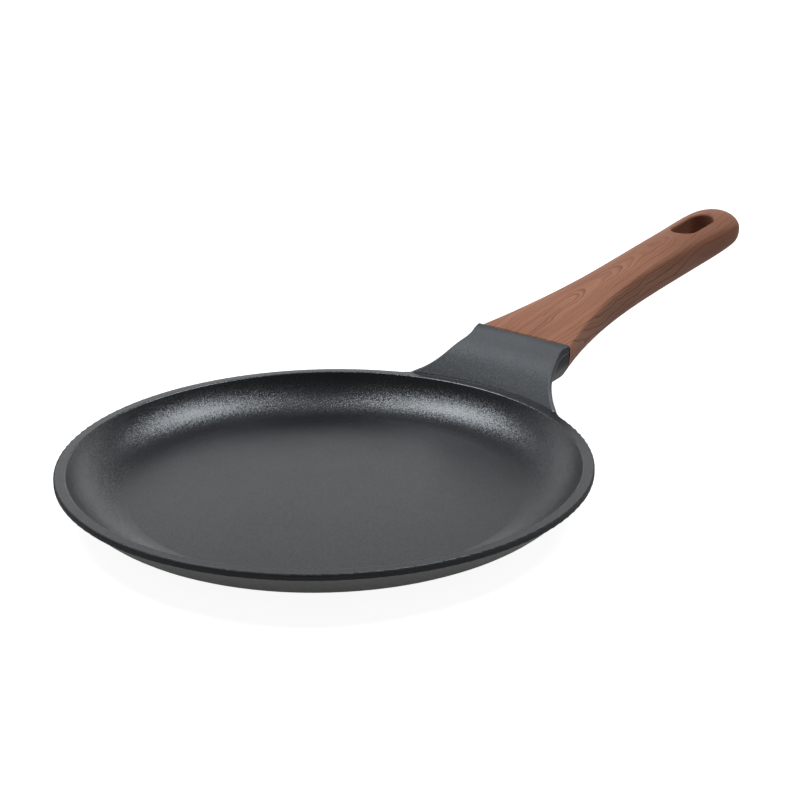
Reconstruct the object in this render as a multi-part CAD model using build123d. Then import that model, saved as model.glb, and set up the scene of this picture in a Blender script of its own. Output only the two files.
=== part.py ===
from build123d import *
import math
import os

# A shallow cast crepe pan with a moulded handle, in millimetres.
# The origin is the centre of the base, on the surface that the pan stands on.
# +Z is up and the handle runs out along +X.

# Pan: the round casting
rim_radius = 120.7
land_width = 5.2
pan_height = 21.0
floor_depth = 16.0
cove_radius = 30.0
wall = 3.5
lip_height = 3.1
rim_round = 0.9
lip_round = 0.6
land_inner_round = 0.7

# Base: a raised disc under the floor, and the steel plate pressed into it
base_radius = 86.5
base_round = 1.0
plate_radius = 78.0
plate_thickness = 0.8
plate_clearance = 0.15
plate_hole_radius = 2.0
plate_ring_pitch = 12.5
plate_ring_count = 5
plate_holes_per_ring = 6
stud_clearance = 0.1

# Lug: the part of the casting that flares from the rim and carries the handle
lug_reach = 25.9
lug_rise = 20.6
lug_skin = 4.6
lug_waist_inset = 0.6
lug_edge_round = 1.2
lug_landing_inset = 1.5
keel_inset = 12.3
keel_drop = 9.0
lug_core_wall = 4.5
lug_core_end_wall = 8.0
lug_core_round = 3.0

# Handle: the moulding, measured at its top centre line
handle_length = 190.0
handle_rise = 29.7
handle_front_slope_degrees = 12.6
handle_end_slope_degrees = 6.0
handle_thickness = 22.6
handle_end_thickness = 17.9
handle_front_half_width = 28.8
handle_waist_half_width = 14.0
handle_end_half_width = 18.0
handle_front_crown = 2.6
handle_end_crown = 8.6
handle_tip_length = 15.0
front_top_power = 4.5
end_top_power = 2.0
belly_power = 2.8

# Neck: the bare front edge of the moulding, set in from the finished surface
neck_length = 1.2
neck_inset = 0.8

# Hanging slot
slot_length = 31.5
slot_width = 14.6
slot_from_tip = 33.4
slot_round = 1.2

# Joint: the tongue of the casting, the socket round it and the screw from below
tongue_length = 34.0
tongue_width = 20.0
tongue_height = 8.0
tongue_round = 1.5
tongue_below_top = 9.2
socket_clearance = 0.2
socket_end_clearance = 1.0
screw_radius = 2.5
screw_from_seam = 20.0
screw_head_radius = 4.6
screw_head_height = 2.8
screw_head_round = 0.8
thread_clearance = 0.05
screw_hole_clearance = 0.3
screw_end_gap = 1.0
web_thickness = 3.0
recess_radius = 5.4
cross_width = 1.3
cross_length = 5.0
cross_depth = 1.8
flat_washer_radius = 5.0
flat_washer_thickness = 1.0
spring_washer_radius = 4.5
spring_washer_thickness = 1.3
spring_washer_gap = 1.0

# One overrun for every cut
overrun = 1.0

# Shares of the lug's reach and rise along its top, from the rim out to the seam
lug_reach_shares = (0.18, 0.385, 0.635, 0.88)
lug_rise_shares = (0.277, 0.549, 0.757, 0.927)
lug_start_slope_degrees = 54.0

# Shares of the lug's reach, from the seam in, and of the flare that it has there by then
flare_place_shares = (0.25, 0.52, 0.786, 1.053)
flare_width_shares = (0.0, 0.082, 0.200, 0.422)
flare_spread_share = 0.993
flare_cross_degrees = 16.0
flare_seam_slope = 0.12

# Shares along the keel, from the seam in to the pan's wall
keel_station_shares = (0.0, 1.0)

# Stations along the handle, as shares of its length, and round its tip, as shares of the tip
station_shares = (0.09, 0.18, 0.29, 0.41, 0.54, 0.67, 0.79)
tip_shares = (0.0, 0.38, 0.64, 0.82, 0.93, 0.985)

# How the handle narrows behind the seam, swells to its end and thins there
flare_length_share = 0.46
flare_steepness = 1.95
swell_start_share = 0.58
swell_steepness = 1.3
thinning_start_share = 0.67
thinning_steepness = 2.1

# Number of points round a handle section
section_points = 32

# Places worked out from the sizes above
floor_z = pan_height - floor_depth
cove_centre_z = floor_z + cove_radius
cove_reach = math.sqrt(cove_radius ** 2 - (cove_centre_z - pan_height) ** 2)
land_inner_radius = rim_radius - land_width
floor_radius = land_inner_radius - cove_reach
outer_cove_radius = cove_radius + wall
lip_bottom_z = pan_height - lip_height
wall_top_reach = math.sqrt(outer_cove_radius ** 2 - (cove_centre_z - lip_bottom_z) ** 2)
wall_top_radius = floor_radius + wall_top_reach
wall_bottom_z = cove_centre_z - outer_cove_radius
seam_x = rim_radius + lug_reach
lug_waist_half_width = handle_front_half_width - lug_waist_inset
keel_half_width = handle_front_half_width - keel_inset
seam_z = pan_height + lug_rise
seam_bottom_z = seam_z - handle_thickness
tip_x = seam_x + handle_length


def between(start, end, share):
    """The value a share of the way from start to end."""
    return start + (end - start) * share


def ramp(share, start, steepness):
    """Nothing up to the start share, then a smooth rise to 1 at the end."""
    return max(0.0, (share - start) / (1 - start)) ** steepness


def handle_top(share):
    """Height of the handle's top centre line above the seam, and its slope in degrees."""
    start = handle_length * math.tan(math.radians(handle_front_slope_degrees))
    end = handle_length * math.tan(math.radians(handle_end_slope_degrees))
    bend = start + end - 2 * handle_rise
    ease = 3 * handle_rise - 2 * start - end
    height = share * (start + share * (ease + share * bend))
    climb = start + share * (2 * ease + share * 3 * bend)
    return height, math.degrees(math.atan2(climb, handle_length))


def rounded(turn_value, size, power):
    """One coordinate of a superellipse, which keeps the sign of its cosine or sine."""
    return math.copysign(size * abs(turn_value) ** (2.0 / power), turn_value)


def dee_face(x, top_z, half_width, crown, belly, top_power):
    """An upright D-shaped section at x: a low crown above its widest line, a belly below."""
    middle_z = top_z - crown
    outline = []
    for step in range(section_points):
        turn = 2 * math.pi * step / section_points
        over = math.sin(turn) > 0
        power = top_power if over else belly_power
        height = crown if over else belly
        across = rounded(math.cos(turn), half_width, power)
        outline.append((x, across, middle_z + rounded(math.sin(turn), height, power)))
    return make_face(Spline(*outline, periodic=True))


def turned(face):
    """A face in the XZ plane turned once round the pan's own axis, its seam opposite the lug."""
    return Rot(0, 0, 180) * revolve(face, Axis.Z, 360)


def upright_face(*lines):
    """The face that a closed chain of lines in the XZ plane bounds."""
    return make_face(list(lines))


def ring_edges(body, radius, height):
    """The round edges about the pan's axis at about a radius and a height."""
    return [
        edge
        for edge in body.edges().filter_by(GeomType.CIRCLE)
        if abs(edge.radius - radius) < rim_round and abs(edge.center().Z - height) < rim_round
    ]


def pan_shell():
    """The round casting without its hollow, its lug or the plate's recess."""
    base_edge = (base_radius, 0, 0)
    step_top = (base_radius, 0, wall_bottom_z)
    wall_foot = (floor_radius, 0, wall_bottom_z)
    middle = math.pi / 4
    wall_middle = (
        floor_radius + outer_cove_radius * math.sin(middle),
        0,
        cove_centre_z - outer_cove_radius * math.cos(middle),
    )
    wall_top = (wall_top_radius, 0, lip_bottom_z)
    lip_bottom = (rim_radius, 0, lip_bottom_z)
    lip_top = (rim_radius, 0, pan_height)
    centre_top = (0, 0, pan_height)
    profile = upright_face(
        Line((0, 0, 0), base_edge),
        Line(base_edge, step_top),
        Line(step_top, wall_foot),
        ThreePointArc(wall_foot, wall_middle, wall_top),
        Line(wall_top, lip_bottom),
        Line(lip_bottom, lip_top),
        Line(lip_top, centre_top),
        Line(centre_top, (0, 0, 0)),
    )
    shell = turned(profile)
    shell = fillet(ring_edges(shell, base_radius, 0), base_round)
    shell = fillet(ring_edges(shell, rim_radius, pan_height), rim_round)
    return fillet(ring_edges(shell, rim_radius, lip_bottom_z), lip_round)


def pan_hollow():
    """What the casting leaves out above its floor, up past the rim."""
    top_z = pan_height + lug_rise
    wall_top = (land_inner_radius, 0, pan_height)
    turn = math.asin(cove_reach / cove_radius) / 2
    wall_middle = (
        floor_radius + cove_radius * math.sin(turn),
        0,
        cove_centre_z - cove_radius * math.cos(turn),
    )
    profile = upright_face(
        Line((0, 0, floor_z), (floor_radius, 0, floor_z)),
        ThreePointArc((floor_radius, 0, floor_z), wall_middle, wall_top),
        Line(wall_top, (land_inner_radius, 0, top_z)),
        Line((land_inner_radius, 0, top_z), (0, 0, top_z)),
        Line((0, 0, top_z), (0, 0, floor_z)),
    )
    return turned(profile)


def lug_top_line(drop):
    """The rising top line of the lug in the XZ plane, lowered by drop."""
    points = [(rim_radius, 0, pan_height - drop)]
    for reach, rise in zip(lug_reach_shares, lug_rise_shares):
        points.append((rim_radius + lug_reach * reach, 0, pan_height - drop + lug_rise * rise))
    points.append((seam_x, 0, seam_z - drop))
    start = math.radians(lug_start_slope_degrees)
    end = math.radians(handle_front_slope_degrees)
    return Spline(
        *points,
        tangents=((math.cos(start), 0, math.sin(start)), (math.cos(end), 0, math.sin(end))),
    )


def under_lug_top(drop, bottom_z):
    """Everything between bottom_z and the lug's top line, turned round the pan."""
    slope = math.radians(handle_front_slope_degrees)
    past_seam = handle_front_half_width / 2
    far = (seam_x + past_seam, 0, seam_z - drop + past_seam * math.tan(slope))
    start = (rim_radius, 0, pan_height - drop)
    inner = (floor_radius, 0, pan_height - drop)
    profile = upright_face(
        Line(inner, start),
        lug_top_line(drop),
        Line((seam_x, 0, seam_z - drop), far),
        Line(far, (far[0], 0, bottom_z)),
        Line((far[0], 0, bottom_z), (inner[0], 0, bottom_z)),
        Line((inner[0], 0, bottom_z), inner),
    )
    return turned(profile)


def lug_side(sign):
    """One flared side of the lug in plan, from the seam in across the rim circle."""
    landing_radius = rim_radius - lug_landing_inset
    spread = lug_reach * flare_spread_share
    landing = math.asin((lug_waist_half_width + spread) / landing_radius)
    end_turn = landing + math.radians(flare_cross_degrees)
    points = [(seam_x, sign * handle_front_half_width)]
    for place, width in zip(flare_place_shares, flare_width_shares):
        points.append((seam_x - lug_reach * place, sign * (lug_waist_half_width + spread * width)))
    points.append((landing_radius * math.cos(landing), sign * landing_radius * math.sin(landing)))
    seam_way = (-1, -sign * flare_seam_slope)
    end_way = (-math.sin(end_turn), sign * math.cos(end_turn))
    return Spline(*points, tangents=(seam_way, end_way))


def lug_flange():
    """The plate that rises from the rim to the seam."""
    right = lug_side(1)
    left = lug_side(-1)
    plan = make_face([
        right,
        left,
        Line(right @ 0, left @ 0),
        Line(right @ 1, (floor_radius, (right @ 1).Y)),
        Line((floor_radius, (right @ 1).Y), (floor_radius, (left @ 1).Y)),
        Line((floor_radius, (left @ 1).Y), left @ 1),
    ])
    blank = extrude(plan, seam_z + lug_rise)
    flange = blank & under_lug_top(0, 0)
    flange -= under_lug_top(lug_skin, -overrun)
    side_edges = flange.edges().filter_by(GeomType.BSPLINE)
    return fillet(side_edges, lug_edge_round)


def seam_face(x, inset):
    """The section that the lug and the handle share at the seam, set in below its top."""
    belly = handle_thickness - handle_front_crown - inset
    return dee_face(
        x, seam_z, handle_front_half_width - inset, handle_front_crown, belly, front_top_power
    )


def lug_keel():
    """The rounded body under the flange, from the pan's wall to the seam."""
    inner_x = wall_top_radius - wall
    sections = []
    for share in keel_station_shares:
        half_width = between(
            handle_front_half_width, keel_half_width, math.sin(share * math.pi / 2)
        )
        middle_z = between(seam_z - handle_front_crown, lip_bottom_z, share)
        bottom_z = between(seam_bottom_z, pan_height - keel_drop, share)
        sections.append(
            dee_face(
                between(seam_x, inner_x, share),
                seam_z,
                half_width,
                seam_z - middle_z,
                middle_z - bottom_z,
                front_top_power,
            )
        )
    return loft(sections)


def lug_core():
    """The hollow cast into the keel from below."""
    start_x = rim_radius
    end_x = seam_x - lug_core_end_wall
    length = end_x - start_x
    half_width = keel_half_width - lug_core_wall
    plane = Plane((between(start_x, end_x, 0.5), 0, 0))
    plan = plane * RectangleRounded(length, 2 * half_width, lug_core_round)
    blank = extrude(plan, seam_z)
    return blank & under_lug_top(lug_skin, 0)


def joint_plane():
    """The plane of the joint: its X runs along the tongue, its Z up out of the handle's top."""
    slope = math.radians(handle_front_slope_degrees)
    return Plane(
        origin=(seam_x, 0, seam_z - tongue_below_top),
        x_dir=(math.cos(slope), 0, math.sin(slope)),
        z_dir=(-math.sin(slope), 0, math.cos(slope)),
    )


def tongue_block(length, width, height):
    """A bar along the joint's X, rooted inside the lug."""
    root = lug_core_end_wall / 2
    bar = Box(length + root, width, height, align=(Align.MIN, Align.CENTER, Align.CENTER))
    bar = fillet(bar.edges().filter_by(Axis.X), tongue_round)
    return joint_plane() * Pos(-root, 0, 0) * bar


def joint_cylinder(radius, bottom, top):
    """A cylinder on the screw's axis, between two heights in the joint's frame."""
    body = Cylinder(radius, top - bottom, align=(Align.CENTER, Align.CENTER, Align.MIN))
    return joint_plane() * Pos(screw_from_seam, 0, bottom) * body


def plate_holes(radius, bottom, top):
    """The pins of the plate's hole pattern, one ring after another round a middle one."""
    pin = Cylinder(radius, top - bottom, align=(Align.CENTER, Align.CENTER, Align.MIN))
    pins = [Pos(0, 0, bottom) * pin]
    for ring in range(1, plate_ring_count + 1):
        places = PolarLocations(ring * plate_ring_pitch, ring * plate_holes_per_ring)
        pins += [place * Pos(0, 0, bottom) * pin for place in places]
    return pins


def base_plate():
    """The perforated steel plate, flush with the base."""
    disc = Cylinder(
        plate_radius, plate_thickness, align=(Align.CENTER, Align.CENTER, Align.MIN)
    )
    return disc - plate_holes(plate_hole_radius, -overrun, plate_thickness + overrun)


def plate_recess():
    """The recess for the plate, with a stud of the casting left in each hole."""
    disc = Cylinder(
        plate_radius + plate_clearance,
        plate_thickness + overrun,
        align=(Align.CENTER, Align.CENTER, Align.MIN),
    )
    studs = plate_holes(plate_hole_radius - stud_clearance, -overrun, plate_thickness)
    return Pos(0, 0, -overrun) * disc - studs


def pan_body():
    """The whole casting: shell, lug, keel and tongue, with its hollow and its recess."""
    body = pan_shell() + lug_flange()
    body += lug_keel() & under_lug_top(0, 0)
    body -= pan_hollow()
    body -= lug_core()
    body += tongue_block(tongue_length, tongue_width, tongue_height)
    body -= joint_cylinder(screw_radius + thread_clearance, -tongue_height, tongue_height)
    body -= plate_recess()
    return fillet(ring_edges(body, land_inner_radius, pan_height), land_inner_round)


def handle_section(x):
    """The handle's D-shaped section at x, with the rounding of the tip."""
    share = (x - seam_x) / handle_length
    height, slope = handle_top(share)
    top_z = seam_z + height
    top_power = between(front_top_power, end_top_power, math.sqrt(share))
    flare = ramp(1 - share, 1 - flare_length_share, flare_steepness)
    swell = ramp(share, swell_start_share, swell_steepness)
    thinning = ramp(share, thinning_start_share, thinning_steepness)
    half_width = (
        handle_waist_half_width
        + (handle_front_half_width - handle_waist_half_width) * flare
        + (handle_end_half_width - handle_waist_half_width) * swell
    )
    crown = between(handle_front_crown, handle_end_crown, share)
    belly = between(handle_thickness, handle_end_thickness, thinning) - crown
    into_tip = max(0.0, 1 - (tip_x - x) / handle_tip_length)
    round_in_plan = math.sqrt(1 - into_tip ** 2)
    round_from_side = math.sqrt(1 - into_tip ** 4)
    return dee_face(
        x,
        top_z - crown * (1 - round_from_side),
        half_width * round_in_plan,
        crown * round_from_side,
        belly * round_from_side,
        top_power,
    )


def handle_blank():
    """The outer form of the handle behind its neck."""
    places = [seam_x + neck_length]
    places += [seam_x + handle_length * share for share in station_shares]
    places += [tip_x - handle_tip_length * (1 - share) for share in tip_shares]
    return loft([handle_section(x) for x in places])


def slot_cut():
    """The hanging slot, cut square to the handle's top where it lies."""
    share = 1 - slot_from_tip / handle_length
    height, slope_degrees = handle_top(share)
    slope = math.radians(slope_degrees)
    plane = Plane(
        origin=(tip_x - slot_from_tip, 0, seam_z + height),
        x_dir=(math.cos(slope), 0, math.sin(slope)),
        z_dir=(-math.sin(slope), 0, math.cos(slope)),
    )
    return extrude(plane * SlotOverall(slot_length, slot_width), handle_thickness * 2, both=True)


def slot_rims(body):
    """The edges of the hanging slot in the handle's top and underside."""
    middle_x = tip_x - slot_from_tip
    return [
        edge
        for edge in body.edges().filter_by(GeomType.BSPLINE)
        if abs(edge.center().X - middle_x) < slot_length / 2 and abs(edge.center().Y) < slot_width
    ]


def handle():
    """The moulding with its bare neck, hanging slot, tongue socket and screw recess."""
    neck = loft([seam_face(seam_x, neck_inset), seam_face(seam_x + neck_length, neck_inset)])
    body = handle_blank() + neck
    body -= slot_cut()
    body = fillet(slot_rims(body), slot_round)
    body -= tongue_block(
        tongue_length + socket_end_clearance,
        tongue_width + 2 * socket_clearance,
        tongue_height + 2 * socket_clearance,
    )
    socket_bottom = -tongue_height / 2 - socket_clearance
    web_bottom = socket_bottom - web_thickness
    body -= joint_cylinder(screw_radius + screw_hole_clearance, -handle_thickness, 0)
    body -= joint_cylinder(recess_radius, -handle_thickness, web_bottom)
    return body


def joint_heights():
    """The heights on the screw's axis where the washers and the head lie."""
    web_bottom = -tongue_height / 2 - socket_clearance - web_thickness
    flat_bottom = web_bottom - flat_washer_thickness
    spring_bottom = flat_bottom - spring_washer_thickness
    return web_bottom, flat_bottom, spring_bottom


def handle_screw():
    """The pan-head screw with its cross recess, pointing up into the tongue."""
    web_bottom, flat_bottom, head_top = joint_heights()
    head_bottom = head_top - screw_head_height
    head = Cylinder(
        screw_head_radius, screw_head_height, align=(Align.CENTER, Align.CENTER, Align.MIN)
    )
    head = fillet(head.edges().group_by(Axis.Z)[0], screw_head_round)
    for width, length in ((cross_width, cross_length), (cross_length, cross_width)):
        head -= Box(width, length, cross_depth, align=(Align.CENTER, Align.CENTER, Align.MIN))
    head = joint_plane() * Pos(screw_from_seam, 0, head_bottom) * head
    shank = joint_cylinder(screw_radius, head_top, tongue_height / 2 - screw_end_gap)
    return head + shank


def flat_washer():
    """The plain washer against the handle."""
    web_bottom, flat_bottom, spring_bottom = joint_heights()
    disc = joint_cylinder(flat_washer_radius, flat_bottom, web_bottom)
    bore = screw_radius + screw_hole_clearance
    return disc - joint_cylinder(bore, flat_bottom - overrun, web_bottom + overrun)


def spring_washer():
    """The split washer under the screw's head."""
    web_bottom, flat_bottom, spring_bottom = joint_heights()
    ring = joint_cylinder(spring_washer_radius, spring_bottom, flat_bottom)
    bore = screw_radius + screw_hole_clearance
    ring -= joint_cylinder(bore, spring_bottom - overrun, flat_bottom + overrun)
    split = Box(2 * spring_washer_radius, spring_washer_gap, 2 * handle_thickness)
    split = Pos(screw_from_seam + spring_washer_radius, 0, 0) * split
    return ring - joint_plane() * split


parts = {
    "pan_body": pan_body(),
    "base_plate": base_plate(),
    "handle": handle(),
    "handle_screw": handle_screw(),
    "flat_washer": flat_washer(),
    "spring_washer": spring_washer(),
}

os.makedirs("parts", exist_ok=True)
for name, shape in parts.items():
    export_step(shape, f"parts/{name}.step")
    print(name, round(shape.volume / 1000, 2), "cm3", len(shape.solids()), "solid")
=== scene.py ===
# %% [markdown]
# A crepe pan, dressed for its picture.
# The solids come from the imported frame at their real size, in metres, with +Z up
# and the handle running out along +X. What follows gives each of them its finish, makes
# the perforated plate in the base again with Geometry Nodes, and sets up the light.

# %% Load the frame
import math

import bpy
from mathutils import Matrix, Vector


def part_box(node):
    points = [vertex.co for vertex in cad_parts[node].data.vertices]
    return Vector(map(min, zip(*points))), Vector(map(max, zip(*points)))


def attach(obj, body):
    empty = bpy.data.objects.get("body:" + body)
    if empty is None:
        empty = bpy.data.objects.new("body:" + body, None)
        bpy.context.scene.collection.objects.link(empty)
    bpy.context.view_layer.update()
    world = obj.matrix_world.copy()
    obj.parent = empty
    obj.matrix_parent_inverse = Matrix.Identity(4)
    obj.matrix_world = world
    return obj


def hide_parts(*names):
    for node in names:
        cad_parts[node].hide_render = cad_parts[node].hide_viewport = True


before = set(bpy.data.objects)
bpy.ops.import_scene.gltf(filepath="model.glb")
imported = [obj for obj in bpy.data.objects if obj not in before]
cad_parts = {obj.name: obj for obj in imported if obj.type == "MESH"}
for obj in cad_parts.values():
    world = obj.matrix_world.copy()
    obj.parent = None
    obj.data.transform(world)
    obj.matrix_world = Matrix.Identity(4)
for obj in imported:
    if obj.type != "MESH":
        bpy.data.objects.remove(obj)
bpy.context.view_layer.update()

scene = bpy.context.scene
scene.view_settings.view_transform = "Standard"
MM = 0.001
print("nodes:", sorted(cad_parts))

# %% [markdown]
# The camera comes first, because it has to see the pan as the photograph does.
# It could be placed by eye, but the two ellipses of the rim fix its tilt and its distance,
# so its place is a turn about the pan, a height angle and a distance from the rim's centre.
# AIM_PIXEL is where the rim's centre lies in the photograph's 800 by 800 frame. The camera
# looks past it to the middle of the picture, which takes two small turns and no lens shift.

# %% The camera's numbers
IMAGE_SIZE = 800
LENS_PIXELS = 1800.0
SENSOR_WIDTH = 36.0
CAMERA_DISTANCE = 811 * MM
CAMERA_AZIMUTH = -46.6
CAMERA_ELEVATION = 22.17
CAMERA_ROLL = 1.27
AIM_PIXEL = (325.3, 457.3)
NEAREST_SEEN = 10 * MM
FARTHEST_SEEN = 100
RIM_HEIGHT = 21 * MM


def heading(azimuth_degrees, elevation_degrees):
    """The direction from the pan at a turn about +Z, where 0 is -Y, and at a height angle."""
    turn = math.radians(azimuth_degrees)
    rise = math.radians(elevation_degrees)
    return Vector((
        math.sin(turn) * math.cos(rise),
        -math.cos(turn) * math.cos(rise),
        math.sin(rise),
    ))


to_camera = heading(CAMERA_AZIMUTH, CAMERA_ELEVATION)
half_image = IMAGE_SIZE / 2
aim_right = math.atan((AIM_PIXEL[0] - half_image) / LENS_PIXELS)
aim_down = math.atan((AIM_PIXEL[1] - half_image) * math.cos(aim_right) / LENS_PIXELS)
print("aim:", round(math.degrees(aim_right), 2), round(math.degrees(aim_down), 2), "degrees")

# %% Camera
camera = bpy.data.objects.new("camera", bpy.data.cameras.new("camera"))
scene.collection.objects.link(camera)
camera.data.sensor_width = SENSOR_WIDTH
camera.data.lens = LENS_PIXELS / IMAGE_SIZE * SENSOR_WIDTH
camera.data.clip_start = NEAREST_SEEN
camera.data.clip_end = FARTHEST_SEEN
camera.matrix_world = (
    Matrix.Translation(to_camera * CAMERA_DISTANCE + Vector((0, 0, RIM_HEIGHT)))
    @ to_camera.to_track_quat("Z", "Y").to_matrix().to_4x4()
    @ Matrix.Rotation(-math.radians(CAMERA_ROLL), 4, "Z")
    @ Matrix.Rotation(aim_down, 4, "X")
    @ Matrix.Rotation(aim_right, 4, "Y")
)
scene.camera = camera
print("camera at", [round(v, 4) for v in camera.matrix_world.translation])

# %% [markdown]
# Materials, Geometry Nodes and the room all work out their patterns in node trees. Placing
# every Math node by hand hides the formula, so a small class holds one value of a tree and
# turns Python's own arithmetic into Math nodes: `a * a + b * b` reads as what it makes.


# %% A value that arithmetic works on
class Wire:
    """One value in a node tree. Sums and products of wires become Math nodes."""

    def __init__(self, tree, socket):
        self.tree = tree
        self.socket = socket

    def math(self, operation, *others, first=None):
        """A Math node on this value and others. A number given as first comes before it."""
        node = self.tree.nodes.new("ShaderNodeMath")
        node.operation = operation
        terms = (self, *others) if first is None else (first, self, *others)
        for slot, value in zip(node.inputs, terms):
            if isinstance(value, Wire):
                self.tree.links.new(value.socket, slot)
            else:
                slot.default_value = value
        return Wire(self.tree, node.outputs[0])

    def __add__(self, other):
        return self.math("ADD", other)

    def __sub__(self, other):
        return self.math("SUBTRACT", other)

    def __rsub__(self, other):
        return self.math("SUBTRACT", first=other)

    def __mul__(self, other):
        return self.math("MULTIPLY", other)

    def __truediv__(self, other):
        return self.math("DIVIDE", other)

    __radd__ = __add__
    __rmul__ = __mul__

    def root(self):
        """The square root."""
        return self.math("SQRT")

    def step(self, low, high, start=0.0, end=1.0):
        """Start below low, end above high, and a smooth step between them."""
        ramp = self.tree.nodes.new("ShaderNodeMapRange")
        ramp.interpolation_type = "SMOOTHSTEP"
        limits = {"From Min": low, "From Max": high, "To Min": start, "To Max": end}
        for name, number in limits.items():
            ramp.inputs[name].default_value = number
        self.tree.links.new(self.socket, ramp.inputs["Value"])
        return Wire(self.tree, ramp.outputs["Result"])


print("wires ready")

# %% [markdown]
# A finish is a Principled shader whose inputs are driven by patterns. All patterns read
# Object coordinates, so they stay on the piece from any side and keep their real scale.
# The unit is a metre, so a noise of scale 350 has clouds of about three millimetres.

# %% A material under construction
# The Mix node also has sockets for numbers and vectors. These are its colour sockets.
MIX_FIRST = 6
MIX_SECOND = 7
MIX_RESULT = 2


class Finish:
    """A Principled material, with the helpers that its patterns need."""

    def __init__(self, name, roughness=0.5, metallic=0.0, specular=0.5):
        self.material = bpy.data.materials.new(name)
        self.material.use_nodes = True
        self.tree = self.material.node_tree
        self.shader = self.tree.nodes["Principled BSDF"]
        self.shader.inputs["Roughness"].default_value = roughness
        self.shader.inputs["Metallic"].default_value = metallic
        self.shader.inputs["Specular IOR Level"].default_value = specular

    def node(self, kind, **settings):
        """A node of this material, with its settings."""
        made = self.tree.nodes.new(kind)
        for key, value in settings.items():
            setattr(made, key, value)
        return made

    def join(self, start, end):
        """A link from a wire or a socket to a socket."""
        self.tree.links.new(start.socket if isinstance(start, Wire) else start, end)

    def drive(self, name, value):
        """Join a pattern to one of the shader's inputs."""
        self.join(value, self.shader.inputs[name])

    def place(self, scale=(1, 1, 1)):
        """Object coordinates, scaled."""
        coordinates = self.node("ShaderNodeTexCoord")
        mapping = self.node("ShaderNodeMapping")
        mapping.inputs["Scale"].default_value = scale
        self.join(coordinates.outputs["Object"], mapping.inputs["Vector"])
        return mapping.outputs["Vector"]

    def parts(self, vector):
        """The X, Y and Z of a vector as wires."""
        split = self.node("ShaderNodeSeparateXYZ")
        self.join(vector, split.inputs[0])
        return [Wire(self.tree, output) for output in split.outputs]

    def noise(self, vector, scale=1.0, detail=3.0, roughness=0.5):
        """A soft cloud from 0 to 1."""
        texture = self.node("ShaderNodeTexNoise")
        self.join(vector, texture.inputs["Vector"])
        texture.inputs["Scale"].default_value = scale
        texture.inputs["Detail"].default_value = detail
        texture.inputs["Roughness"].default_value = roughness
        return Wire(self.tree, texture.outputs["Fac"])

    def cells(self, vector, scale):
        """A random colour for each small cell."""
        texture = self.node("ShaderNodeTexVoronoi")
        self.join(vector, texture.inputs["Vector"])
        texture.inputs["Scale"].default_value = scale
        return texture.outputs["Color"]

    def blend(self, factor, first, second):
        """A colour between two colours or colour sockets."""
        mix = self.node("ShaderNodeMix", data_type="RGBA")
        self.join(factor, mix.inputs["Factor"])
        for value, slot in ((first, mix.inputs[MIX_FIRST]), (second, mix.inputs[MIX_SECOND])):
            if isinstance(value, tuple):
                slot.default_value = (*value, 1)
            else:
                self.join(value, slot)
        return mix.outputs[MIX_RESULT]

    def bump(self, height, distance):
        """A normal from a height pattern."""
        made = self.node("ShaderNodeBump")
        made.inputs["Distance"].default_value = distance
        self.join(height, made.inputs["Height"])
        return made.outputs["Normal"]

    def use_on(self, *names):
        """Dress CAD nodes in this finish."""
        for name in names:
            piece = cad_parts[name]
            piece.data.materials.clear()
            piece.data.materials.append(self.material)
            print(self.material.name, "on", name)


print("finish helpers ready")

# %% [markdown]
# The whole casting wears one sprayed coating: near black, with fine metal flakes that only
# catch the light in the highlights. The lip's outer band is painted darker, as painted shade,
# and the wall outside is painted paler and a little warmer, as painted light from the floor.
# The lug is rougher, and its foot is painted a little paler, as a painted highlight. Painting
# these zones by hand would need a UV map. A mask finds each of them instead from the rim's
# own sizes: by radius, by height or by the way it faces. A mask is 1 in its zone, 0 elsewhere, and
# soft between.

# %% Zones of the casting
RIM_RADIUS = 120.7 * MM
LIP_BOTTOM = 17.9 * MM
EDGE_ROUND = 0.9 * MM
EDGE_SOFTNESS = 0.25 * MM
TOP_EDGE_START = RIM_HEIGHT - EDGE_SOFTNESS / 5
TOP_EDGE_END = RIM_HEIGHT - EDGE_SOFTNESS / 25
UNDERNEATH_FULL = -0.35
UNDERNEATH_END = -0.10
COATING_SPECULAR = 0.8
COATING_GLOSS_TINT = (0.86, 0.93, 1.0, 1)

coating = Finish("coating", specular=COATING_SPECULAR)
coating.shader.inputs["Specular Tint"].default_value = COATING_GLOSS_TINT
spot = coating.place()
x, y, z = coating.parts(spot)
radius = (x * x + y * y).root()
upward = coating.parts(coating.node("ShaderNodeNewGeometry").outputs["Normal"])[2]
at_rim = radius.step(RIM_RADIUS - 2 * EDGE_ROUND, RIM_RADIUS - 1.5 * EDGE_ROUND)
past_rim = radius.step(RIM_RADIUS + EDGE_SOFTNESS, RIM_RADIUS + 2 * EDGE_SOFTNESS)
below_lip = z.step(LIP_BOTTOM - EDGE_SOFTNESS, LIP_BOTTOM, 1.0, 0.0)
below_top = z.step(TOP_EDGE_START, TOP_EDGE_END, 1.0, 0.0)
on_lip = at_rim * (1 - past_rim) * (1 - below_lip) * below_top
on_lug = z.step(RIM_HEIGHT, RIM_HEIGHT + 3 * EDGE_SOFTNESS)
underneath = upward.step(UNDERNEATH_FULL, UNDERNEATH_END, 1.0, 0.0)
print("zones: the lip, the lug and the outside")

# %% Colours of the coating
COATING_DARK = (0.0070, 0.0080, 0.0095)
COATING_LIGHT = (0.0095, 0.0108, 0.0128)
LIP_PAINTED_SHADE = (0.004, 0.004, 0.004)
LUG_COLOUR = (0.052, 0.057, 0.064)
OUTSIDE_PAINTED_FLOOR_LIGHT = (0.250, 0.250, 0.240)
LUG_FOOT_TOP = 29 * MM
LUG_FADE_END = 38 * MM
LUG_REST_SHARE = 0.25
CLOUD_SCALE = 18
CLOUD_LOW = 0.3
CLOUD_HIGH = 0.7

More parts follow.
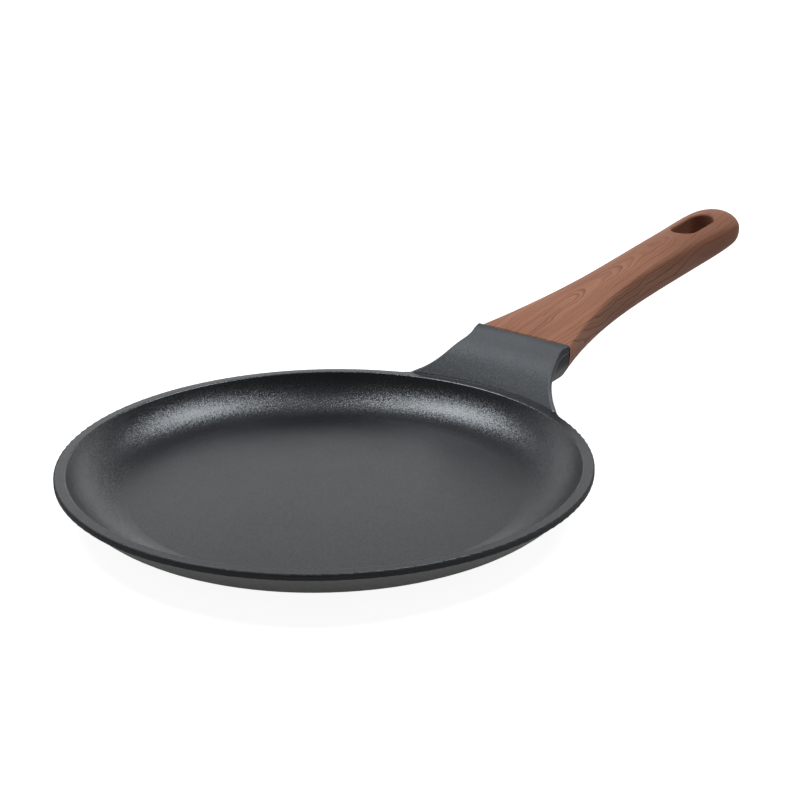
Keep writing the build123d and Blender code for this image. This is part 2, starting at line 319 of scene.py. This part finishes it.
cloud = coating.noise(spot, CLOUD_SCALE).step(CLOUD_LOW, CLOUD_HIGH)
paler = on_lug * z.step(LUG_FOOT_TOP, LUG_FADE_END, 1.0, LUG_REST_SHARE)
shade = coating.blend(cloud, COATING_DARK, COATING_LIGHT)
shade = coating.blend(paler, shade, LUG_COLOUR)
# Painted shade: the lip's outer band is painted darker than the rest of the coating.
shade = coating.blend(on_lip, shade, LIP_PAINTED_SHADE)
# Painted light: where the coating faces down it is painted paler and warmer, for the light the
# floor throws up onto it.
shade = coating.blend(underneath, shade, OUTSIDE_PAINTED_FLOOR_LIGHT)
coating.drive("Base Color", shade)
print("coating coloured")

# %% Gloss of the coating
COATING_ROUGHNESS = 0.31
GRIT_SCALE = 60
GRIT_ROUGHER = 0.06
OUTSIDE_ROUGHER = 0.15
LUG_ROUGHER = 0.26
LIP_ROUGHER = 0.40

grit = coating.noise(spot, GRIT_SCALE) - 0.5
rougher = grit * GRIT_ROUGHER + underneath * OUTSIDE_ROUGHER
rougher = rougher + on_lug * LUG_ROUGHER + on_lip * LIP_ROUGHER
coating.drive("Roughness", COATING_ROUGHNESS + rougher)
print("coating gloss set")

# %% [markdown]
# The flakes could be coloured dots, but those would also show on the dark floor, where the
# photograph is smooth. So each flake is a small lean of the normal, which only shows where
# the coating mirrors something bright. On level places the flakes lie flatter.

# %% Flakes in the coating
FLAKES_PER_METRE = 2800
FLAKE_LEAN_SLOPE = 0.18
FLAKE_LEAN_FLAT = 0.05
SLOPE_UP_TO = 0.970
FLAT_FROM = 0.998
MIDDLE_GREY = (0.5, 0.5, 0.5)

lean = upward.step(SLOPE_UP_TO, FLAT_FROM, FLAKE_LEAN_SLOPE, FLAKE_LEAN_FLAT)
centred = coating.node("ShaderNodeVectorMath", operation="SUBTRACT")
coating.join(coating.cells(spot, FLAKES_PER_METRE), centred.inputs[0])
centred.inputs[1].default_value = MIDDLE_GREY
flake = coating.node("ShaderNodeVectorMath", operation="SCALE")
coating.join(centred.outputs[0], flake.inputs[0])
coating.join(lean, flake.inputs["Scale"])
leaned = coating.node("ShaderNodeVectorMath", operation="ADD")
coating.join(flake.outputs[0], leaned.inputs[0])
coating.join(coating.node("ShaderNodeNewGeometry").outputs["Normal"], leaned.inputs[1])
unit = coating.node("ShaderNodeVectorMath", operation="NORMALIZE")
coating.join(leaned.outputs[0], unit.inputs[0])
coating.drive("Normal", unit.outputs[0])
coating.use_on("pan_body")

# %% [markdown]
# The handle's moulding wears a printed wood-look film. A flat picture of grain would need an
# image. Here the grain is worked out as in a real log: growth rings round a pith that dives
# under the surface towards the handle's end. Where the top cuts through the rings they show
# as nested arches, and along the sides as long lines, as in the photograph. Depth counts
# from the curve of the handle's top, and slow noises make the pith and the rings wander.

# %% Growth rings in the handle
SEAM_X = 146.6 * MM
SEAM_Z = 41.6 * MM
HANDLE_CLIMB = 0.2235
HANDLE_BEND = 0.354
PITH_START = 2.0 * MM
PITH_DIVE = 0.075
PITH_SWAY = 14 * MM
SIDE_SWAY = 8 * MM
RING_WANDER = 7 * MM
RING_GAP = 1.3 * MM
SWAY_SCALE = (9, 30, 30)
SWAY_DETAIL = 2
WANDER_SCALE = (28, 60, 60)
FILM_SPECULAR = 0.12

film = Finish("wood_look_film", specular=FILM_SPECULAR)
x, y, z = film.parts(film.place())
along = x - SEAM_X
depth = SEAM_Z + along * HANDLE_CLIMB - along * along * HANDLE_BEND - z
sway = film.noise(film.place(SWAY_SCALE), detail=SWAY_DETAIL) - 0.5
wander = film.noise(film.place(WANDER_SCALE)) - 0.5
pith = PITH_START + along * PITH_DIVE + sway * PITH_SWAY
across = y + sway * SIDE_SWAY
below = depth + pith
reach = (across * across + below * below).root() + wander * RING_WANDER
ring = reach / RING_GAP
print("rings every", RING_GAP / MM, "mm")

# %% [markdown]
# In each ring the wood darkens slowly and then turns pale again at once. That saw-tooth is
# the ring number's fraction. Its whole part picks a random strength for the ring, so that
# faint and strong lines mix. Fine fibres and broad patches lie over the lines. The film also
# darkens towards the handle's end, which stands in for how the photograph lights it.

# %% Colours of the film
FILM_LIGHT = (0.380, 0.180, 0.112)
FILM_MIDDLE = (0.315, 0.140, 0.086)
FILM_LINE = (0.175, 0.070, 0.042)
FILM_DARK = (0.200, 0.085, 0.050)
FAINT_UP_TO = 0.15
STRONG_FROM = 0.9
FAINTEST_LINE = 0.12
DARKENS_FROM = 0.20
DARKEST_AT = 0.88
PALES_FROM = 0.93
LINE_SHARE = 0.75
FIBRE_SCALE = (70, 2600, 2600)
FIBRE_GRAIN = 0.6
FIBRE_LOW = 0.52
FIBRE_HIGH = 0.80
FIBRE_SHARE = 0.45
PATCH_SCALE = (16, 90, 90)
PATCH_LOW = 0.3
PATCH_HIGH = 0.7
END_SHADE_START = 80 * MM
END_SHADE_FULL = 170 * MM
END_SHADE = 0.55

whole = film.node("ShaderNodeTexWhiteNoise", noise_dimensions="1D")
film.join(ring.math("FLOOR"), whole.inputs["W"])
strength = Wire(film.tree, whole.outputs["Value"])
weight = strength.step(FAINT_UP_TO, STRONG_FROM, FAINTEST_LINE, 1.0)
within = ring.math("FRACT")
line = within.step(DARKENS_FROM, DARKEST_AT) * within.step(PALES_FROM, 1.0, 1.0, 0.0) * weight
fibre = film.noise(film.place(FIBRE_SCALE), roughness=FIBRE_GRAIN)
fibre_shade = fibre.step(FIBRE_LOW, FIBRE_HIGH, 0.0, FIBRE_SHARE)
patch = film.noise(film.place(PATCH_SCALE)).step(PATCH_LOW, PATCH_HIGH)
far_end = along.step(END_SHADE_START, END_SHADE_FULL, 0.0, END_SHADE)
tone = film.blend(patch, FILM_LIGHT, FILM_MIDDLE)
tone = film.blend(fibre_shade, tone, FILM_LINE)
tone = film.blend(line * LINE_SHARE, tone, FILM_LINE)
tone = film.blend(far_end, tone, FILM_DARK)
print("film coloured")

# %% [markdown]
# The film stops just short of the lug, and the black moulding shows there as a thin line:
# under half a millimetre wide on top, and over one round the sides. The line is partly that
# bare moulding and partly painted shadow of the gap at the seam.

# %% The bare neck with its painted seam shadow, and the film's gloss
NECK_AND_SEAM_SHADOW_COLOUR = (0.012, 0.011, 0.011)
NECK_LENGTH = 1.2 * MM
NECK_SOFTNESS = 0.1 * MM
NECK_ON_TOP_SHARE = 0.35
FLAT_HALF_WIDTH = 20 * MM
SIDE_HALF_WIDTH = 26 * MM
FILM_ROUGHNESS = 0.44
FIBRE_ROUGHER = 0.08
NECK_ROUGHER = 0.3
LINE_GROOVE = 0.4
FILM_RELIEF = 0.02 * MM

at_side = y.math("ABSOLUTE").step(FLAT_HALF_WIDTH, SIDE_HALF_WIDTH, NECK_ON_TOP_SHARE, 1.0)
on_neck_and_seam_shadow = 1 - (along - at_side * NECK_LENGTH).step(0.0, NECK_SOFTNESS)
# The dark line at the seam is the bare black moulding, and partly painted shadow of the gap there.
film.drive("Base Color", film.blend(on_neck_and_seam_shadow, tone, NECK_AND_SEAM_SHADOW_COLOUR))
film.drive("Roughness", FILM_ROUGHNESS + fibre * FIBRE_ROUGHER + on_neck_and_seam_shadow * NECK_ROUGHER)
film.drive("Normal", film.bump(fibre - line * LINE_GROOVE, FILM_RELIEF))
film.use_on("handle")

# %% [markdown]
# The steel in the base was stamped from sheet and dressed on a turntable, so its grain runs
# in rings round the middle. A noise that is stretched along the rings would need polar
# coordinates. Feeding it the radius alone, with a little place added, gives the same rings.

# %% Turned steel
STEEL_LIGHT = (0.60, 0.60, 0.61)
STEEL_DARK = (0.47, 0.47, 0.48)
GRAIN_PER_METRE = 5000
GRAIN_DRIFT = 20
GRAIN_SHARE = 0.7
SMUDGE_SCALE = 30
DARK_UP_TO = 0.35
LIGHT_FROM = 0.65
STEEL_ROUGHNESS = 0.26
GRAIN_ROUGHER = 0.14
SMUDGE_ROUGHER = 0.08
STEEL_RELIEF = 0.01 * MM

turned_steel = Finish("turned_steel", metallic=1.0)
spot = turned_steel.place()
x, y, z = turned_steel.parts(spot)
ring_place = turned_steel.node("ShaderNodeCombineXYZ")
turned_steel.join((x * x + y * y).root() * GRAIN_PER_METRE, ring_place.inputs["X"])
turned_steel.join(x * GRAIN_DRIFT, ring_place.inputs["Y"])
turned_steel.join(y * GRAIN_DRIFT, ring_place.inputs["Z"])
grain = turned_steel.noise(ring_place.outputs[0])
smudge = turned_steel.noise(spot, SMUDGE_SCALE)
mixed = grain * GRAIN_SHARE + smudge * (1 - GRAIN_SHARE)
bright = mixed.step(DARK_UP_TO, LIGHT_FROM)
turned_steel.drive("Base Color", turned_steel.blend(bright, STEEL_DARK, STEEL_LIGHT))
turned_steel.drive("Roughness", STEEL_ROUGHNESS + grain * GRAIN_ROUGHER + smudge * SMUDGE_ROUGHER)
turned_steel.drive("Normal", turned_steel.bump(grain, STEEL_RELIEF))
print("turned steel ready")

# %% [markdown]
# The screw and its washers are zinc plated. Zinc grows in patches of crystals, which show as
# pale and slightly blue flecks, so cells of random grey are laid over a soft cloud.

# %% Zinc on the screw and the washers
ZINC_LIGHT = (0.66, 0.67, 0.70)
ZINC_DARK = (0.50, 0.51, 0.54)
CRYSTALS_PER_METRE = 1400
ZINC_CLOUD_SCALE = 350
FLECK_SHARE = 0.5
ZINC_ROUGHNESS = 0.26
CLOUD_ROUGHER = 0.14
FLECK_ROUGHER = 0.06
ZINC_RELIEF = 0.01 * MM

zinc = Finish("zinc_plating", metallic=1.0)
spot = zinc.place()
fleck = zinc.parts(zinc.cells(spot, CRYSTALS_PER_METRE))[0]
cloud = zinc.noise(spot, ZINC_CLOUD_SCALE)
bright = fleck * FLECK_SHARE + cloud * (1 - FLECK_SHARE)
zinc.drive("Base Color", zinc.blend(bright, ZINC_DARK, ZINC_LIGHT))
zinc.drive("Roughness", ZINC_ROUGHNESS + cloud * CLOUD_ROUGHER + fleck * FLECK_ROUGHER)
zinc.drive("Normal", zinc.bump(cloud, ZINC_RELIEF))
zinc.use_on("handle_screw", "flat_washer", "spring_washer")

# %% [markdown]
# Geometry Nodes suit a piece that follows a rule: the rule is written once and its sizes
# stay open. A small class keeps such a tree. Each size becomes a named input of the
# modifier. `build` sets the inputs by their identifiers, lets Blender work the tree out once
# and keeps the result as a plain mesh, because an export drops live nodes.


# %% A Geometry Nodes recipe
class Recipe:
    """A Geometry Nodes tree with named sizes, which ends as a plain mesh."""

    def __init__(self, name):
        self.name = name
        self.tree = bpy.data.node_groups.new(name, "GeometryNodeTree")
        for way in ("INPUT", "OUTPUT"):
            self.tree.interface.new_socket("Geometry", in_out=way, socket_type="NodeSocketGeometry")
        self.entry = self.tree.nodes.new("NodeGroupInput")
        self.exit = self.tree.nodes.new("NodeGroupOutput")
        self.sizes = {}

    def size(self, name, value, kind="NodeSocketFloat"):
        """A named input of the modifier, as a wire."""
        socket = self.tree.interface.new_socket(name, in_out="INPUT", socket_type=kind)
        self.sizes[socket.identifier] = value
        return Wire(self.tree, self.entry.outputs[name])

    def node(self, kind, feeds, **settings):
        """A node with its inputs set or joined. Gives the wire of its first output."""
        made = self.tree.nodes.new(kind)
        for key, value in settings.items():
            setattr(made, key, value)
        for key, value in feeds.items():
            for one in value if isinstance(value, list) else [value]:
                if isinstance(one, Wire):
                    self.tree.links.new(one.socket, made.inputs[key])
                else:
                    made.inputs[key].default_value = one
        return Wire(self.tree, made.outputs[0])

    def build(self, geometry, material):
        """The piece that the tree makes, as a plain mesh in its material."""
        whole = self.node("GeometryNodeRealizeInstances", {"Geometry": geometry})
        dressed = self.node("GeometryNodeSetMaterial", {"Geometry": whole, "Material": material})
        self.tree.links.new(dressed.socket, self.exit.inputs["Geometry"])
        piece = bpy.data.objects.new(self.name, bpy.data.meshes.new(self.name))
        scene.collection.objects.link(piece)
        modifier = piece.modifiers.new("recipe", "NODES")
        modifier.node_group = self.tree
        for identifier, value in self.sizes.items():
            modifier[identifier] = value
        worked_out = piece.evaluated_get(bpy.context.evaluated_depsgraph_get())
        mesh = bpy.data.meshes.new_from_object(worked_out)
        piece.modifiers.clear()
        piece.data = mesh
        return piece


print("recipes ready")

# %% [markdown]
# The plate in the base is a steel disc with rings of holes, through which the aluminium
# grips it. The holes could be cut out one by one with booleans, which is slow and leaves
# poor faces. Drawing them as curves is cleaner, and starts with one point for each hole.
# Round the hole in the middle, ring n holds 6 n holes, so the rings up to n hold 3 n (n + 1).
# Turning that rule round gives a hole's ring from its index alone.

# %% Sizes of the plate
plate_low, plate_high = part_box("base_plate")

recipe = Recipe("perforated_plate")
disc_radius = recipe.size("Disc radius", plate_high[0])
thickness = recipe.size("Thickness", plate_high[2] - plate_low[2])
hole_radius = recipe.size("Hole radius", 2.0 * MM)
pitch = recipe.size("Ring pitch", 12.5 * MM)
rings = recipe.size("Rings", 5, "NodeSocketInt")
per_ring = recipe.size("Holes in the first ring", 6, "NodeSocketInt")
print("plate:", round(plate_high[0] * 2 / MM, 1), "mm across")

# %% A point for each hole
ROUNDING_GUARD = 0.001

index = recipe.node("GeometryNodeInputIndex", {})
exact_ring = ((index * 8 / per_ring + 1).root() - 1) / 2
ring = (exact_ring - ROUNDING_GUARD).math("CEIL")
nth = index - 1 - per_ring * ring * (ring - 1) / 2
turn = nth / (per_ring * ring) * math.tau
hole_place = recipe.node("ShaderNodeCombineXYZ", {
    "X": ring * pitch * turn.math("COSINE"),
    "Y": ring * pitch * turn.math("SINE"),
})
points = recipe.node("GeometryNodePoints", {
    "Count": per_ring * rings * (rings + 1) / 2 + 1,
    "Position": hole_place,
})
print("holes placed")

# %% [markdown]
# A circle goes on each point. They are all filled at once inside the outer circle, and the
# flat sheet is pulled up to the plate's thickness. The pull leaves the sheet open below, so
# a flipped copy of it closes the plate, and the doubled edges are welded.

# %% The perforated plate
HOLE_SIDES = 32
DISC_SIDES = 256
WELD_DISTANCE = 0.002 * MM
SHARP_ANGLE = 40

hole = recipe.node("GeometryNodeCurvePrimitiveCircle", {
    "Resolution": HOLE_SIDES,
    "Radius": hole_radius,
})
outline = recipe.node("GeometryNodeCurvePrimitiveCircle", {
    "Resolution": DISC_SIDES,
    "Radius": disc_radius,
})
instances = recipe.node("GeometryNodeInstanceOnPoints", {"Points": points, "Instance": hole})
holes = recipe.node("GeometryNodeRealizeInstances", {"Geometry": instances})
drawn = recipe.node("GeometryNodeJoinGeometry", {"Geometry": [outline, holes]})
sheet = recipe.node("GeometryNodeFillCurve", {"Curve": drawn})
raised = recipe.node("GeometryNodeExtrudeMesh", {
    "Mesh": sheet,
    "Offset Scale": thickness,
    "Individual": False,
})
underside = recipe.node("GeometryNodeFlipFaces", {"Mesh": sheet})
both = recipe.node("GeometryNodeJoinGeometry", {"Geometry": [raised, underside]})
closed = recipe.node("GeometryNodeMergeByDistance", {
    "Geometry": both,
    "Distance": WELD_DISTANCE,
})
plate = recipe.build(closed, turned_steel.material)
plate.data.shade_smooth()
plate.data.set_sharp_from_angle(angle=math.radians(SHARP_ANGLE))
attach(plate, "root")
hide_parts("base_plate")
print("plate:", len(plate.data.vertices), "vertices,", len(plate.data.polygons), "faces")

# %% [markdown]
# The floor is a plain sheet of pale paper, far wider than any view. It could be lit until it
# clips, but that light would also fall on the pan. So its Light Path node makes it glow to
# the camera, and a little in reflections, and it still takes the pan's shadow.

# %% The floor
FLOOR_REACH = 6.0
PAPER_ROUGHNESS = 0.9
PAPER_GREY = (0.46, 0.46, 0.46, 1)
WHITE = (1, 1, 1, 1)
GLOW_TO_CAMERA = 0.92
GLOW_IN_GLOSS = 0.15

floor_mesh = bpy.data.meshes.new("floor")
corners = [
    (-FLOOR_REACH, -FLOOR_REACH, 0),
    (FLOOR_REACH, -FLOOR_REACH, 0),
    (FLOOR_REACH, FLOOR_REACH, 0),
    (-FLOOR_REACH, FLOOR_REACH, 0),
]
floor_mesh.from_pydata(corners, [], [(0, 1, 2, 3)])
floor = bpy.data.objects.new("floor", floor_mesh)
scene.collection.objects.link(floor)

paper = Finish("paper", roughness=PAPER_ROUGHNESS, specular=0.0)
paper.shader.inputs["Base Color"].default_value = PAPER_GREY
paper.shader.inputs["Emission Color"].default_value = WHITE
rays = paper.node("ShaderNodeLightPath")
to_eye = Wire(paper.tree, rays.outputs["Is Camera Ray"]) * GLOW_TO_CAMERA
in_gloss = Wire(paper.tree, rays.outputs["Is Glossy Ray"]) * GLOW_IN_GLOSS
paper.drive("Emission Strength", to_eye.math("MAXIMUM", in_gloss))
floor.data.materials.append(paper.material)
print("floor", FLOOR_REACH * 2, "m wide")

# %% [markdown]
# Round the pan is a studio with a white sweep low behind it and a dark room above and behind
# the camera, because the photograph's coating mirrors such a place: pale where it reflects
# the sweep, nearly black where it reflects the room. The camera itself sees plain white.
# A direction's Z tells how high it points, and its share away from the camera how far behind
# the pan it goes.

# %% Directions and rays in the room
world = bpy.data.worlds.new("studio")
scene.world = world
world.use_nodes = True
room = world.node_tree
backdrop = room.nodes["Background"]
direction = room.nodes.new("ShaderNodeTexCoord")
split = room.nodes.new("ShaderNodeSeparateXYZ")
room.links.new(direction.outputs["Generated"], split.inputs[0])
east, north, high = [Wire(room, output) for output in split.outputs]
away = -1 * (east * to_camera.x + north * to_camera.y)
rays = room.nodes.new("ShaderNodeLightPath")
from_camera = Wire(room, rays.outputs["Is Camera Ray"])
through_glass = Wire(room, rays.outputs["Is Transmission Ray"])
seen = (from_camera + through_glass).math("MINIMUM", 1.0)
print("room laid out")

# %% The room's glow
SWEEP_TOP = 0.38
SWEEP_FADE = 0.22
BEHIND_START = 0.1
BEHIND_FULL = 0.9
HORIZON_START = 0.02
HORIZON_FULL = 0.30
ROOM_GLOW = 0.05
LOW_GLOW = 0.18
SWEEP_GLOW = 0.42
BRIGHT_SWEEP_GLOW = 0.95

low_down = 1 - high.step(SWEEP_TOP - SWEEP_FADE, SWEEP_TOP + SWEEP_FADE)
behind = away.step(BEHIND_START, BEHIND_FULL)
above_horizon = high.step(HORIZON_START, HORIZON_FULL)
sweep = behind * (SWEEP_GLOW + above_horizon * BRIGHT_SWEEP_GLOW)
glow = ROOM_GLOW + low_down * (LOW_GLOW + sweep)
room.links.new((seen + (1 - seen) * glow).socket, backdrop.inputs["Strength"])
backdrop.inputs["Color"].default_value = WHITE
print("room ready")

# %% [markdown]
# Two soft boxes stand behind the pan, one on each side, high up. Their mirror images are the
# two bright crescents in the cove, so their turn and height follow from where those lie.

# %% Lamps
BOX_HEIGHT_ANGLE = 60
BOX_DISTANCE = 1.6
BOX_SIZE = 0.7


def soft_box(name, turn, power):
    """A square lamp that faces the pan, at a turn from straight behind it."""
    way = heading(CAMERA_AZIMUTH + 180 + turn, BOX_HEIGHT_ANGLE)
    lamp = bpy.data.lights.new(name, "AREA")
    lamp.shape = "SQUARE"
    lamp.size = BOX_SIZE
    lamp.energy = power
    holder = bpy.data.objects.new(name, lamp)
    holder.location = way * BOX_DISTANCE
    holder.rotation_euler = way.to_track_quat("Z", "Y").to_euler()
    scene.collection.objects.link(holder)
    print(name, "at", [round(v, 2) for v in holder.location])


soft_box("box_right", turn=-62, power=13)
soft_box("box_left", turn=50, power=14)
